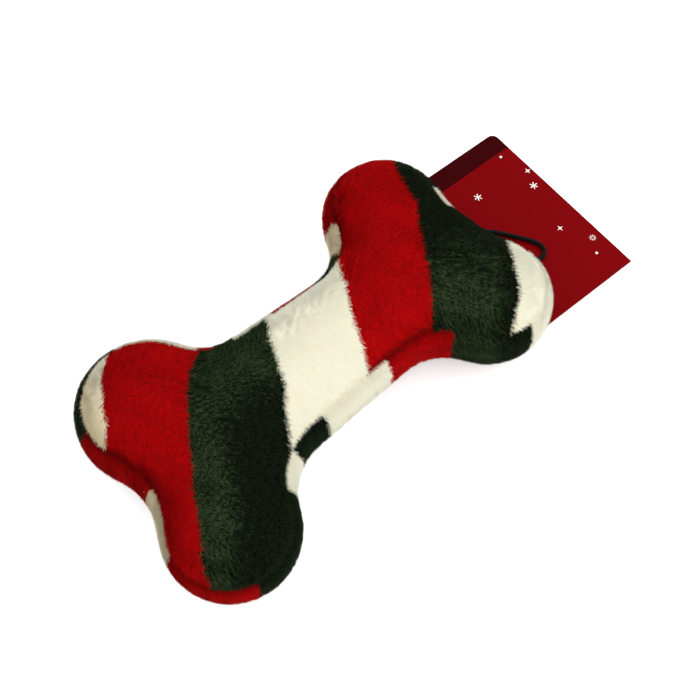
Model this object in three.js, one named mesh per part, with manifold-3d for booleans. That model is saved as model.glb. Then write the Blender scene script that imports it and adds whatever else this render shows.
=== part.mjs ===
// Stuffed bone toy: two plush panels, a side band sewn from six strips, fibre filling,
// two squeakers, and a card hang tag on an elastic loop.
// Millimetres, +Z up. The toy lies on its back panel at z = 0, with its tag end towards +X.
import * as THREE from 'three';
import { mergeVertices } from 'three/addons/utils/BufferGeometryUtils.js';
import Module from 'manifold-3d';

const wasm = await Module();
wasm.setup();

// Overall size of the toy, over the pile
const BONE_LENGTH = 240;
const BONE_WIDTH = 142;
const BONE_THICKNESS = 56;
const REST_FLAT_DEPTH = 0.5;

// Outline in plan
const SHAFT_WIDTH = 66;
const LOBE_RADIUS = 33;
const CROTCH_RADIUS = 26;
const NOTCH_RADIUS = 44;
const FORK_REACH = 62;

// Sewn shell: skins with their pile, the side band, and the room at a seam
const SKIN_THICKNESS = 3.6;
const BAND_WIDTH = 28;
const BAND_BULGE = 3;
const SEAM_GAP = 0.3;

// The filling is packed as one body for the shaft and one for each lobe.
const SHAFT_FILLING_REACH = 43;

// Squeakers
const SQUEAKER_REACH = 64;
const BULB_RADIUS = 20;
const BULB_HEIGHT = 24;
const BULB_WALL = 1.2;
const PLUG_FLANGE_RADIUS = 7;
const PLUG_FLANGE_THICKNESS = 1.4;
const PLUG_STEM_RADIUS = 4.2;
const PLUG_STEM_LENGTH = 7;
const PLUG_BORE_RADIUS = 1.9;
const REED_LENGTH = 5;
const REED_THICKNESS = 0.4;
const FIT_GAP = 0.3;

// Hang tag. Its hole lies near the middle of one long edge, which rides on the elastic.
const CARD_WIDTH = 66;
const CARD_LENGTH = 109;
const CARD_THICKNESS = 0.6;
const CARD_CORNER_RADIUS = 4;
const CARD_HOLE_RADIUS = 2.75;
const CARD_HOLE_INSET = 7;
const CARD_EDGE_LIFT = 3.5;
const CARD_FLOOR_GAP = 0.1;
const CARD_TURN_DEGREES = -3.1;
const HOLE_BEYOND_TIP = -2.8;
const HOLE_OFF_AXIS = -4.3;

// Elastic loop
const ELASTIC_DIAMETER = 2.4;
const ELASTIC_SIDES = 8;
const ELASTIC_STEPS = 60;

// How finely the soft forms are divided
const LOBE_STEPS = 14;
const BRANCH_STEPS = 4;
const SHAFT_STEPS = 4;
const BULB_ARC_STEPS = 6;
const ROUND_SEGMENTS = 16;
const WELD_DISTANCE = 1e-3;

// A crown falls from the spine to the seam along a power curve, and is fullest at the forks.
const CROWN_EXPONENT = 2.5;
const PILLOW_EXPONENT = 0.7;
const crownRingShares = [0, 0.24, 0.46, 0.66, 0.82, 0.93, 1];
const bandLevelShares = [-1, -0.5, 0, 0.5, 1];
const crownShares = { forkShare: 1, lobeShare: 0.98, shaftShare: 0.9 };

// Hand stuffing leaves the lobes unequal. Each reaches a share of the half length and of the
// half width, and has a share of the lobe radius and of the crotch radius.
const lobeShares = {
  tag_end_left: { reachShare: 0.952, spreadShare: 0.965, radiusShare: 0.985, crotchShare: 0.92 },
  far_end_left: { reachShare: 0.9375, spreadShare: 1, radiusShare: 1.106, crotchShare: 0.8 },
  far_end_right: { reachShare: 1, spreadShare: 1, radiusShare: 1.015, crotchShare: 1.22 },
  tag_end_right: { reachShare: 1, spreadShare: 0.942, radiusShare: 1.006, crotchShare: 1.04 },
};
const notchShares = { tag_end: 1.1, far_end: 0.9 };

// The right-hand strips of the band are joined a few samples of the outline before each end of the
// shaft's flank: in the hollow of the far crotch, and on the flank beside the tag end.
const jointSamplesBefore = { far_end: 2, tag_end: 1 };

const middleHeight = BONE_THICKNESS / 2 - REST_FLAT_DEPTH;
const seamHeight = BAND_WIDTH / 2;
const crownHeight = BONE_THICKNESS / 2 - seamHeight;

// Each end lies at a share of the half length along X, and each side at a share of the half width
// along Y. The left flank of the shaft narrows towards the tag end, and the right one runs level.
const endShares = { tag_end: 1, far_end: -1 };
const sideShares = {
  left: { acrossShare: 1, taperShare: -0.38 },
  right: { acrossShare: -1, taperShare: 0 },
};

// Finishes

function finish(name, colour, roughness) {
  return new THREE.MeshStandardMaterial({ name, color: colour, roughness, metalness: 0 });
}

const stripedPlush = finish('striped_plush', '#9a0a0c', 0.95);
const polyesterFibre = finish('polyester_fibre', '#f3f1ea', 1);
const bulbVinyl = finish('bulb_vinyl', '#e9ecee', 0.45);
const plugPlastic = finish('plug_plastic', '#f5f5f2', 0.35);
const reedFilm = finish('reed_film', '#d8c9a0', 0.3);
const printedCard = finish('printed_card', '#7f0509', 0.5);
const blackElastic = finish('black_elastic', '#0c0b0b', 0.8);

// Plan of the toy: a spine with a fork at each end, and an outline of arcs round it

const directionTo = (from, to) => Math.atan2(to.y - from.y, to.x - from.x);

function lobeCircle(end, side, shares) {
  const radius = LOBE_RADIUS * shares.radiusShare;
  const x = end * (BONE_LENGTH / 2 * shares.reachShare - radius);
  const y = side * (BONE_WIDTH / 2 * shares.spreadShare - radius);
  return { centre: new THREE.Vector2(x, y), radius };
}

// One flank of the shaft, as the line y = level + slope * x
function flankLine(side, taperShare) {
  const level = side * SHAFT_WIDTH / 2;
  return { side, level, slope: level * taperShare / (BONE_LENGTH / 2) };
}

// The hollow arc of a notch touches the two lobes of its end from outside.
function notchArc(end, leftLobe, rightLobe, radius) {
  const span = leftLobe.centre.clone().sub(rightLobe.centre);
  const distance = span.length();
  const toRight = rightLobe.radius + radius;
  const toLeft = leftLobe.radius + radius;
  const along = (distance ** 2 + toRight ** 2 - toLeft ** 2) / (2 * distance);
  const across = Math.sqrt(toRight ** 2 - along ** 2);
  const unit = span.normalize();
  const outwards = new THREE.Vector2(unit.y, -unit.x).multiplyScalar(end * across);
  return { centre: rightLobe.centre.clone().addScaledVector(unit, along).add(outwards), radius };
}

// The hollow arc of a crotch touches a lobe from outside and runs into a flank of the shaft.
function crotchArc(lobe, flank, radius) {
  const offset = flank.level + flank.side * radius * Math.hypot(1, flank.slope);
  const a = 1 + flank.slope ** 2;
  const b = 2 * (flank.slope * (offset - lobe.centre.y) - lobe.centre.x);
  const c = lobe.centre.x ** 2 + (offset - lobe.centre.y) ** 2 - (lobe.radius + radius) ** 2;
  const x = (-b - Math.sign(lobe.centre.x) * Math.sqrt(b ** 2 - 4 * a * c)) / (2 * a);
  const centre = new THREE.Vector2(x, flank.slope * x + offset);
  return { centre, radius, flankDirection: Math.atan2(-flank.side, flank.side * flank.slope) };
}

// A point of the spine, and the share of the full crown that the filling reaches there
const spinePoint = (place, crownShare) => ({ place, crownShare });

function spineRun(from, to, steps, dip = 0) {
  return Array.from({ length: steps + 1 }, (_, i) => {
    const t = i / steps;
    const share = THREE.MathUtils.lerp(from.crownShare, to.crownShare, t);
    return spinePoint(from.place.clone().lerp(to.place, t), share - dip * Math.sin(Math.PI * t) ** 2);
  });
}

// Samples of an arc of the outline, one for each given point of the spine. A lobe turns
// anticlockwise round its centre, and a hollow arc turns clockwise round a centre outside the toy.
function arcSamples(arc, start, finishAngle, spine, hollow) {
  const sense = hollow ? -1 : 1;
  const sweep = THREE.MathUtils.euclideanModulo(sense * (finishAngle - start), 2 * Math.PI);
  return spine.map((spineAt, i) => {
    const angle = start + sense * sweep * i / (spine.length - 1);
    const ray = new THREE.Vector2(Math.cos(angle), Math.sin(angle));
    const point = arc.centre.clone().addScaledVector(ray, arc.radius);
    return { point, outward: ray.multiplyScalar(sense), spine: spineAt };
  });
}

// The outline of one lobe, from its notch to the shaft, or from the shaft to its notch
function lobeSamples(lobe, notch, crotch, fork) {
  const heart = spinePoint(lobe.centre, crownShares.lobeShare);
  const inwards = spineRun(heart, fork, BRANCH_STEPS);
  const outwards = [...inwards].reverse();
  const tip = Array(LOBE_STEPS + 1).fill(heart);
  const notchFloor = directionTo(notch.centre, fork.place);
  const notchTouch = directionTo(notch.centre, lobe.centre);
  const crotchTouch = directionTo(crotch.centre, lobe.centre);
  const lobeAtNotch = directionTo(lobe.centre, notch.centre);
  const lobeAtCrotch = directionTo(lobe.centre, crotch.centre);
  const startsAtNotch = lobe.centre.x * lobe.centre.y > 0;
  const runs = startsAtNotch
    ? [
      arcSamples(notch, notchFloor, notchTouch, outwards, true),
      arcSamples(lobe, lobeAtNotch, lobeAtCrotch, tip, false),
      arcSamples(crotch, crotchTouch, crotch.flankDirection, inwards, true),
    ]
    : [
      arcSamples(crotch, crotch.flankDirection, crotchTouch, outwards, true),
      arcSamples(lobe, lobeAtCrotch, lobeAtNotch, tip, false),
      arcSamples(notch, notchTouch, notchFloor, inwards, true),
    ];
  return runs.flatMap((run, i) => (i === 0 ? run : run.slice(1)));
}

function flankSamples(before, after) {
  const from = before.at(-1);
  const to = after[0];
  const dip = crownShares.forkShare - crownShares.shaftShare;
  return spineRun(from.spine, to.spine, SHAFT_STEPS, dip).map((spine, i) => ({
    point: from.point.clone().lerp(to.point, i / SHAFT_STEPS),
    outward: from.outward,
    spine,
  }));
}

// The whole outline runs anticlockwise from the tag end's notch, as one stretch for each strip of band.
function outlineStretches() {
  const lobes = {};
  const crotches = {};
  const notches = {};
  const forks = {};
  for (const [endName, end] of Object.entries(endShares)) {
    forks[endName] = spinePoint(new THREE.Vector2(end * FORK_REACH, 0), crownShares.forkShare);
    for (const [sideName, { acrossShare, taperShare }] of Object.entries(sideShares)) {
      const name = `${endName}_${sideName}`;
      const shares = lobeShares[name];
      const flank = flankLine(acrossShare, taperShare);
      lobes[name] = lobeCircle(end, acrossShare, shares);
      crotches[name] = crotchArc(lobes[name], flank, CROTCH_RADIUS * shares.crotchShare);
    }
    const radius = NOTCH_RADIUS * notchShares[endName];
    notches[endName] = notchArc(end, lobes[`${endName}_left`], lobes[`${endName}_right`], radius);
  }
  const lobeStretch = (endName, sideName) => {
    const name = `${endName}_${sideName}`;
    return lobeSamples(lobes[name], notches[endName], crotches[name], forks[endName]);
  };
  const tagLeft = lobeStretch('tag_end', 'left');
  const farLeft = lobeStretch('far_end', 'left');
  const farRight = lobeStretch('far_end', 'right');
  const tagRight = lobeStretch('tag_end', 'right');
  const rightFlank = flankSamples(farRight, tagRight);
  const farJoint = farRight.length - 1 - jointSamplesBefore.far_end;
  const tagJoint = rightFlank.length - 1 - jointSamplesBefore.tag_end;
  return {
    tag_end_left: tagLeft,
    shaft_left: flankSamples(tagLeft, farLeft),
    far_end_left: farLeft,
    far_end_right: farRight.slice(0, farJoint + 1),
    shaft_right: [...farRight.slice(farJoint, -1), ...rightFlank.slice(0, tagJoint + 1)],
    tag_end_right: [...rightFlank.slice(tagJoint, -1), ...tagRight],
  };
}

const stretches = outlineStretches();
const outline = Object.values(stretches).flatMap((samples) => samples.slice(0, -1));

// Lofted surfaces

// Faces between rows of points, each row closed on itself, split along their shorter diagonal.
// Points that meet leave no face between them.
function loftGeometry(rows, cappedEnds) {
  const positions = [];
  const addFace = (a, b, c) => {
    const normal = b.clone().sub(a).cross(c.clone().sub(a));
    if (normal.length() > WELD_DISTANCE ** 2) {
      positions.push(...a.toArray(), ...b.toArray(), ...c.toArray());
    }
  };
  for (let r = 0; r < rows.length - 1; r += 1) {
    rows[r].forEach((point, i) => {
      const beyond = rows[r + 1][i];
      const next = rows[r][(i + 1) % rows[r].length];
      const nextBeyond = rows[r + 1][(i + 1) % rows[r].length];
      if (point.distanceTo(nextBeyond) < next.distanceTo(beyond)) {
        addFace(point, beyond, nextBeyond);
        addFace(point, nextBeyond, next);
      } else {
        addFace(point, beyond, next);
        addFace(next, beyond, nextBeyond);
      }
    });
  }
  if (cappedEnds) {
    addCap(rows[0], addFace);
    addCap([...rows.at(-1)].reverse(), addFace);
  }
  const geometry = new THREE.BufferGeometry();
  geometry.setAttribute('position', new THREE.Float32BufferAttribute(positions, 3));
  const welded = mergeVertices(geometry, WELD_DISTANCE);
  welded.computeVertexNormals();
  return welded;
}

// A cap across the end of a strip, in pairs of points from its outer and inner face
function addCap(ring, addFace) {
  const last = ring.length - 1;
  for (let i = 0; i < ring.length / 2 - 1; i += 1) {
    addFace(ring[i], ring[i + 1], ring[last - i - 1]);
    addFace(ring[i], ring[last - i - 1], ring[last - i]);
  }
}

// One ring of a crown, at a share of the way from spine to seam. It lies inset from the outline,
// starts at a height from the middle at the seam, and rises by the crown there. Side is 1 in
// front and -1 behind, where the toy's own weight keeps it flat at the floor.
function crownRing(side, inset, seamAt, drop, share) {
  return outline.map(({ point, outward, spine }) => {
    const rim = point.clone().addScaledVector(outward, -inset);
    const place = spine.place.clone().lerp(rim, share);
    const rise = (crownHeight * spine.crownShare - drop) * (1 - share ** CROWN_EXPONENT);
    return new THREE.Vector3(place.x, place.y, Math.max(middleHeight + side * (seamAt + rise), 0));
  });
}

function crownRows(side, inset, seamAt, drop) {
  return crownRingShares.map((share) => crownRing(side, inset, seamAt, drop, share));
}

// A plush panel is a shell between two crowns, from its spine out to the seam and back.
function panelGeometry(side) {
  const seamAt = seamHeight + SEAM_GAP / 2;
  const pile = crownRows(side, BAND_BULGE, seamAt, SEAM_GAP / 2);
  const backing = crownRows(side, BAND_BULGE + SKIN_THICKNESS, seamAt, SKIN_THICKNESS + SEAM_GAP / 2);
  return side > 0
    ? loftGeometry([...pile, ...backing.reverse()])
    : loftGeometry([...backing, ...pile.reverse()]);
}

const bandInset = (levelShare) => BAND_BULGE * levelShare ** 2;

// A strip of the side band bulges between its two seams. Its ends stop short of the next strips.
function bandGeometry(samples) {
  const halfWidth = seamHeight - SEAM_GAP / 2;
  const rows = samples.map(({ point, outward }, i) => {
    const along = new THREE.Vector2(-outward.y, outward.x);
    const trim = (i === 0 ? SEAM_GAP / 2 : 0) - (i === samples.length - 1 ? SEAM_GAP / 2 : 0);
    const station = point.clone().addScaledVector(along, trim);
    const level = (share, thickness) => {
      const place = station.clone().addScaledVector(outward, -bandInset(share) - thickness);
      return new THREE.Vector3(place.x, place.y, middleHeight + share * halfWidth);
    };
    const pile = bandLevelShares.map((share) => level(share, 0));
    const backing = bandLevelShares.map((share) => level(share, SKIN_THICKNESS));
    return [...pile, ...backing.reverse()];
  });
  return loftGeometry(rows, true);
}

// The filling as one swelling body, a seam gap inside the skins
function fillingGeometry() {
  const depth = SKIN_THICKNESS + SEAM_GAP;
  const inset = BAND_BULGE + depth;
  const flankRows = bandLevelShares.slice(1, -1).reverse().map((share) => outline.map(({ point, outward }) => {
    const place = point.clone().addScaledVector(outward, -bandInset(share) - depth);
    return new THREE.Vector3(place.x, place.y, middleHeight + share * seamHeight);
  }));
  const front = crownRows(1, inset, seamHeight, depth);
  const back = crownRows(-1, inset, seamHeight, depth).reverse();
  return loftGeometry([...front, ...flankRows, ...back]);
}

// Solids that are cut

function solidOf(geometry) {
  const bare = geometry.clone();
  bare.deleteAttribute('normal');
  bare.deleteAttribute('uv');
  const merged = mergeVertices(bare, WELD_DISTANCE);
  const vertProperties = new Float32Array(merged.attributes.position.array);
  const triVerts = new Uint32Array(merged.index.array);
  return new wasm.Manifold(new wasm.Mesh({ numProp: 3, vertProperties, triVerts }));
}

function geometryOf(solid) {
  const { vertProperties, triVerts, numProp } = solid.getMesh();
  const positions = new Float32Array(triVerts.length * 3);
  triVerts.forEach((vertex, i) => {
    positions.set(vertProperties.subarray(vertex * numProp, vertex * numProp + 3), i * 3);
  });
  const geometry = new THREE.BufferGeometry();
  geometry.setAttribute('position', new THREE.BufferAttribute(positions, 3));
  geometry.computeVertexNormals();
  return geometry;
}

// A block of filling between two corners, tall enough to pass through the toy
function regionSolid(low, high) {
  const block = new THREE.BoxGeometry(high.x - low.x, high.y - low.y, 2 * BONE_THICKNESS);
  block.translate((low.x + high.x) / 2, (low.y + high.y) / 2, middleHeight);
  return solidOf(block);
}

// Squeakers: a pillow-shaped vinyl bulb, with a plug in its mouth that holds the reed

// Half of a pillow profile, from its foot on the axis to the height where it narrows to a mouth
function pillowProfile(radius, height, mouthRadius) {
  const lastTurn = Math.acos((mouthRadius / radius) ** (1 / PILLOW_EXPONENT));
  return Array.from({ length: BULB_ARC_STEPS * 2 + 1 }, (_, i) => {
    const turn = THREE.MathUtils.lerp(-Math.PI / 2, lastTurn, i / (BULB_ARC_STEPS * 2));
    const r = i === 0 ? 0 : radius * Math.cos(turn) ** PILLOW_EXPONENT;
    const z = Math.sign(turn) * height / 2 * Math.abs(Math.sin(turn)) ** PILLOW_EXPONENT;
    return new THREE.Vector2(r, z);
  });
}

function turned(profile) {
  return new THREE.LatheGeometry(profile, ROUND_SEGMENTS).rotateX(Math.PI / 2);
}

const mouthRadius = PLUG_STEM_RADIUS + FIT_GAP;
const mouthHeight = pillowProfile(BULB_RADIUS, BULB_HEIGHT, mouthRadius).at(-1).y;
const flangeHeight = mouthHeight + FIT_GAP;

function bulbGeometry() {
  const outside = pillowProfile(BULB_RADIUS, BULB_HEIGHT, mouthRadius);
  const inside = pillowProfile(BULB_RADIUS - BULB_WALL, BULB_HEIGHT - 2 * BULB_WALL, mouthRadius);
  return turned([...outside, ...inside.reverse()]);
}

function plugGeometry() {
  const top = flangeHeight + PLUG_FLANGE_THICKNESS;
  const foot = flangeHeight - PLUG_STEM_LENGTH;
  return turned([
    new THREE.Vector2(PLUG_BORE_RADIUS, foot),
    new THREE.Vector2(PLUG_STEM_RADIUS, foot),
    new THREE.Vector2(PLUG_STEM_RADIUS, flangeHeight),
    new THREE.Vector2(PLUG_FLANGE_RADIUS, flangeHeight),
    new THREE.Vector2(PLUG_FLANGE_RADIUS, top),
    new THREE.Vector2(PLUG_BORE_RADIUS, top),
    new THREE.Vector2(PLUG_BORE_RADIUS, foot),
  ]);
}

function reedGeometry() {
  const boreFlat = PLUG_BORE_RADIUS * Math.cos(Math.PI / ROUND_SEGMENTS);
  const width = 2 * (boreFlat - FIT_GAP);
  return new THREE.BoxGeometry(width, REED_THICKNESS, REED_LENGTH)
    .translate(0, 0, flangeHeight - PLUG_STEM_LENGTH / 2);
}

// The room that a squeaker takes up in the filling
function squeakerPocket(end) {
  const room = turned([
    ...pillowProfile(BULB_RADIUS + FIT_GAP, BULB_HEIGHT + 2 * FIT_GAP, PLUG_FLANGE_RADIUS + FIT_GAP),
    new THREE.Vector2(PLUG_FLANGE_RADIUS + FIT_GAP, flangeHeight + PLUG_FLANGE_THICKNESS + FIT_GAP),
    new THREE.Vector2(0, flangeHeight + PLUG_FLANGE_THICKNESS + FIT_GAP),
  ]);
  return solidOf(room).translate([end * SQUEAKER_REACH, 0, middleHeight]);
}

// Hang tag: a card with three rounded corners, one square corner, and a hole for the elastic

function cardGeometry() {
  const left = -CARD_HOLE_INSET;
  const right = CARD_WIDTH - CARD_HOLE_INSET;
  const top = CARD_LENGTH / 2;
  const bottom = -CARD_LENGTH / 2;
  const r = CARD_CORNER_RADIUS;
  const card = new THREE.Shape();
  card.moveTo(left + r, bottom);
  card.lineTo(right, bottom);
  card.lineTo(right, top - r);
  card.absarc(right - r, top - r, r, 0, Math.PI / 2, false);
  card.lineTo(left + r, top);
  card.absarc(left + r, top - r, r, Math.PI / 2, Math.PI, false);
  card.lineTo(left, bottom + r);
  card.absarc(left + r, bottom + r, r, Math.PI, 1.5 * Math.PI, false);
  const hole = new THREE.Path();
  hole.absarc(0, 0, CARD_HOLE_RADIUS, 0, 2 * Math.PI, true);
  card.holes.push(hole);
  return new THREE.ExtrudeGeometry(card, { depth: CARD_THICKNESS, bevelEnabled: false, curveSegments: 6 });
}

// Elastic loop: out of the end seam, over the card, back through its hole and under its edge

const elasticRoute = [
  [109, 5.2, 24], [112, 5.2, 23.67], [115.3, 5.2, 22.3], [117.2, 5.5, 19.3], [117.5, 6, 15.4],
  [118.1, 6.5, 11.2], [120.2, 6.6, 7.6], [123.4, 5.6, 5.5], [127.3, 2.9, 4.9], [131.3, -1.8, 4.7],
  [135.1, -7.5, 4.5], [138.6, -13, 4.3], [141.4, -17.8, 4.1], [142.9, -21.7, 4], [142.6, -25.5, 4],
  [139.8, -28.2, 4.2], [136.3, -28.4, 4.3], [133.3, -25.7, 4.5], [130.8, -22.2, 4.6],
  [126.2, -16.2, 4.9], [121.4, -9.9, 5.3], [119.6, -7.5, 5.4], [118.5, -6, 5.05], [117.5, -4.7, 3.95],
  [116.9, -3.9, 2.95], [115.9, -2.5, 1.75], [114.6, -0.9, 1.35], [112.7, 0.8, 1.35], [110.3, 1.8, 1.4],
  [107.3, 2.1, 2.3], [105.3, 2.1, 4.8], [105.2, 2, 8], [107, 1.9, 10.7], [110.7, 1.8, 12.4],
  [114.5, 1.7, 13.8], [116.6, 1.7, 15.8], [117.2, 1.8, 19.3], [115.6, 1.9, 22.2], [112.2, 1.83, 23.66],
  [109.33, 1.44, 23.97],
].map((place) => new THREE.Vector3(...place));

function elasticGeometry() {
  const section = new THREE.Shape(Array.from({ length: ELASTIC_SIDES }, (_, i) => {
    const turn = 2 * Math.PI * i / ELASTIC_SIDES;
    return new THREE.Vector2(Math.cos(turn), Math.sin(turn)).multiplyScalar(ELASTIC_DIAMETER / 2);
  }));
  const extrudePath = new THREE.CatmullRomCurve3(elasticRoute, false, 'centripetal');
  return new THREE.ExtrudeGeometry(section, { steps: ELASTIC_STEPS, extrudePath });
}

// Assembly

const toy = new THREE.Group();

function addPiece(name, geometry, material) {
  const mesh = new THREE.Mesh(geometry, material);
  mesh.name = name;
  toy.add(mesh);
  return mesh;
}

addPiece('front_panel', panelGeometry(1), stripedPlush);
addPiece('back_panel', panelGeometry(-1), stripedPlush);
for (const [name, samples] of Object.entries(stretches)) {
  addPiece(`side_band_${name}`, bandGeometry(samples), stripedPlush);
}

const pockets = squeakerPocket(endShares.tag_end).add(squeakerPocket(endShares.far_end));
const filling = solidOf(fillingGeometry()).subtract(pockets);
const shaftCorner = new THREE.Vector2(SHAFT_FILLING_REACH - SEAM_GAP / 2, BONE_WIDTH);
const shaftRegion = regionSolid(shaftCorner.clone().negate(), shaftCorner);
addPiece('filling_shaft', geometryOf(filling.intersect(shaftRegion)), polyesterFibre);
for (const [endName, end] of Object.entries(endShares)) {
  for (const [sideName, { acrossShare }] of Object.entries(sideShares)) {
    const nearX = end * (SHAFT_FILLING_REACH + SEAM_GAP / 2);
    const nearCorner = new THREE.Vector2(nearX, acrossShare * SEAM_GAP / 2);
    const farCorner = new THREE.Vector2(end * BONE_LENGTH, acrossShare * BONE_WIDTH);
    const region = regionSolid(nearCorner.clone().min(farCorner), nearCorner.clone().max(farCorner));
    addPiece(`filling_${endName}_${sideName}`, geometryOf(filling.intersect(region)), polyesterFibre);
  }
  const squeakerPlace = [end * SQUEAKER_REACH, 0, middleHeight];
  addPiece(`squeaker_bulb_${endName}`, bulbGeometry(), bulbVinyl).position.set(...squeakerPlace);
  addPiece(`squeaker_plug_${endName}`, plugGeometry(), plugPlastic).position.set(...squeakerPlace);
  addPiece(`squeaker_reed_${endName}`, reedGeometry(), reedFilm).position.set(...squeakerPlace);
}

const cardTilt = Math.asin((CARD_EDGE_LIFT - CARD_FLOOR_GAP) / CARD_WIDTH);
const tag = addPiece('hang_tag', cardGeometry(), printedCard);
tag.rotation.set(0, cardTilt, THREE.MathUtils.degToRad(CARD_TURN_DEGREES), 'ZYX');
tag.position.set(
  BONE_LENGTH / 2 + HOLE_BEYOND_TIP,
  HOLE_OFF_AXIS,
  CARD_EDGE_LIFT - CARD_HOLE_INSET * Math.sin(cardTilt),
);
addPiece('elastic_loop', elasticGeometry(), blackElastic);

export default toy;
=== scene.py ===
import math

import bmesh
import bpy
import numpy as np
from mathutils import Matrix, Vector, noise


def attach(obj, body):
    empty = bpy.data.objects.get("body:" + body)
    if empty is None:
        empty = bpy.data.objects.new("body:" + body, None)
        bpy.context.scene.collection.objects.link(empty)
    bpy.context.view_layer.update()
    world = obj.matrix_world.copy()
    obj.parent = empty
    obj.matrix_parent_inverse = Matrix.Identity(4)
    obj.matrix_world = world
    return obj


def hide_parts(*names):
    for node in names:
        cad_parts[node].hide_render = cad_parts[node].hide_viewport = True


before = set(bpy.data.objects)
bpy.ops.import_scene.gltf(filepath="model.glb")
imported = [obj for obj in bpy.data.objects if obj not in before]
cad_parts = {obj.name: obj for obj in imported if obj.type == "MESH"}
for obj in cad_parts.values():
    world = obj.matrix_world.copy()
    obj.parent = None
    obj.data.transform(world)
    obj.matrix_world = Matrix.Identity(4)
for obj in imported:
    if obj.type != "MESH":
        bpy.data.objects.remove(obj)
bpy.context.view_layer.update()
scene = bpy.context.scene

# Camera: a short telephoto lens held above the right-hand side of the far end, looking down
# steeply along the toy towards the hang tag.
VIEW_AZIMUTH = math.radians(-43.10)
VIEW_ELEVATION = math.radians(63.85)
VIEW_DISTANCE = 0.6201
VIEW_TARGET = Vector((0.0171, -0.0073, 0.028))
LENS_MM = 64.48

camera_data = bpy.data.cameras.new("camera")
camera_data.lens = LENS_MM
camera_data.clip_start = 0.01
camera = bpy.data.objects.new("camera", camera_data)
from_target = Vector((
    math.cos(VIEW_ELEVATION) * math.sin(VIEW_AZIMUTH),
    -math.cos(VIEW_ELEVATION) * math.cos(VIEW_AZIMUTH),
    math.sin(VIEW_ELEVATION),
))
camera.location = VIEW_TARGET + VIEW_DISTANCE * from_target
camera.rotation_euler = (-from_target).to_track_quat("-Z", "Y").to_euler()
scene.collection.objects.link(camera)
scene.camera = camera

# Elastic loop: 2.4 mm round elastic, a rubber core braided over with black polyester. Both ends
# are caught in the end seam, and it goes over the card, back through the hole and under the edge.
ELASTIC_DIAMETER = 0.0024
LOOP_OUT_OF_SEAM = 0.151
ELASTIC_BLACK = "#060506"
BRAID_PITCH = 0.0011
BRAID_STRANDS = 6
BRAID_RELIEF = 0.0002
elastic_route = [
    (0.1076, 0.0052, 0.02415), (0.112, 0.0052, 0.02367), (0.1153, 0.0052, 0.0223),
    (0.1172, 0.0055, 0.0193), (0.1175, 0.006, 0.0154), (0.1181, 0.0065, 0.0112),
    (0.1202, 0.0066, 0.0076), (0.1234, 0.0056, 0.0055), (0.1273, 0.0029, 0.0049),
    (0.1313, -0.0018, 0.0047), (0.1351, -0.0075, 0.0045), (0.1386, -0.013, 0.0043),
    (0.1414, -0.0178, 0.0041), (0.1429, -0.0217, 0.004), (0.1426, -0.0255, 0.004),
    (0.1398, -0.0282, 0.0042), (0.1363, -0.0284, 0.0043), (0.1333, -0.0257, 0.0045),
    (0.1308, -0.0222, 0.0046), (0.1262, -0.0162, 0.0049), (0.1214, -0.0099, 0.0053),
    (0.1196, -0.0075, 0.0054), (0.1185, -0.006, 0.00505), (0.1175, -0.0047, 0.00395),
    (0.1169, -0.0039, 0.00295), (0.1159, -0.0025, 0.00175), (0.1146, -0.0009, 0.00135),
    (0.1127, 0.0008, 0.00135), (0.1103, 0.0018, 0.0014), (0.1073, 0.0021, 0.0023),
    (0.1053, 0.0021, 0.0048), (0.1052, 0.002, 0.008), (0.107, 0.0019, 0.0107),
    (0.1107, 0.0018, 0.0124), (0.1145, 0.0017, 0.0138), (0.1166, 0.0017, 0.0158),
    (0.1172, 0.0018, 0.0193), (0.1156, 0.0019, 0.0222), (0.1122, 0.00183, 0.02366),
    (0.1079, 0.00125, 0.02413),
]


def linear(hex_colour):
    """An sRGB hex colour as linear red, green, blue and alpha."""
    channels = [int(hex_colour[i:i + 2], 16) / 255 for i in (1, 3, 5)]
    return [c / 12.92 if c <= 0.04045 else ((c + 0.055) / 1.055) ** 2.4 for c in channels] + [1.0]


def add_node(tree, kind, links=None, **settings):
    """Adds a node. Settings are its properties, and links its inputs by name or number."""
    node = tree.nodes.new(kind)
    for name, value in settings.items():
        setattr(node, name, value)
    for socket, value in (links or {}).items():
        if isinstance(value, bpy.types.NodeSocket):
            tree.links.new(value, node.inputs[socket])
        else:
            node.inputs[socket].default_value = value
    return node


def new_material(name):
    material = bpy.data.materials.new(name)
    material.use_nodes = True
    return material, material.node_tree, material.node_tree.nodes["Principled BSDF"]


def show(name, mesh):
    piece = bpy.data.objects.new(name, mesh)
    scene.collection.objects.link(piece)
    return piece


def baked_mesh(piece):
    """The piece's mesh with its modifiers applied."""
    bpy.context.view_layer.update()
    depsgraph = bpy.context.evaluated_depsgraph_get()
    return bpy.data.meshes.new_from_object(piece.evaluated_get(depsgraph), depsgraph=depsgraph)


curve = bpy.data.curves.new("elastic_centreline", "CURVE")
curve.dimensions = "3D"
curve.resolution_u = 6
curve.bevel_depth = ELASTIC_DIAMETER / 2
curve.bevel_resolution = 3
curve.use_fill_caps = True
spline = curve.splines.new("BEZIER")
spline.bezier_points.add(len(elastic_route) - 1)
for knot, place in zip(spline.bezier_points, elastic_route):
    knot.co = place
    knot.handle_left_type = knot.handle_right_type = "AUTO"
elastic_curve = show("elastic_curve", curve)
elastic = show("elastic_braid", baked_mesh(elastic_curve))
bpy.data.objects.remove(elastic_curve)
for face in elastic.data.polygons:
    face.use_smooth = True

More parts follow.
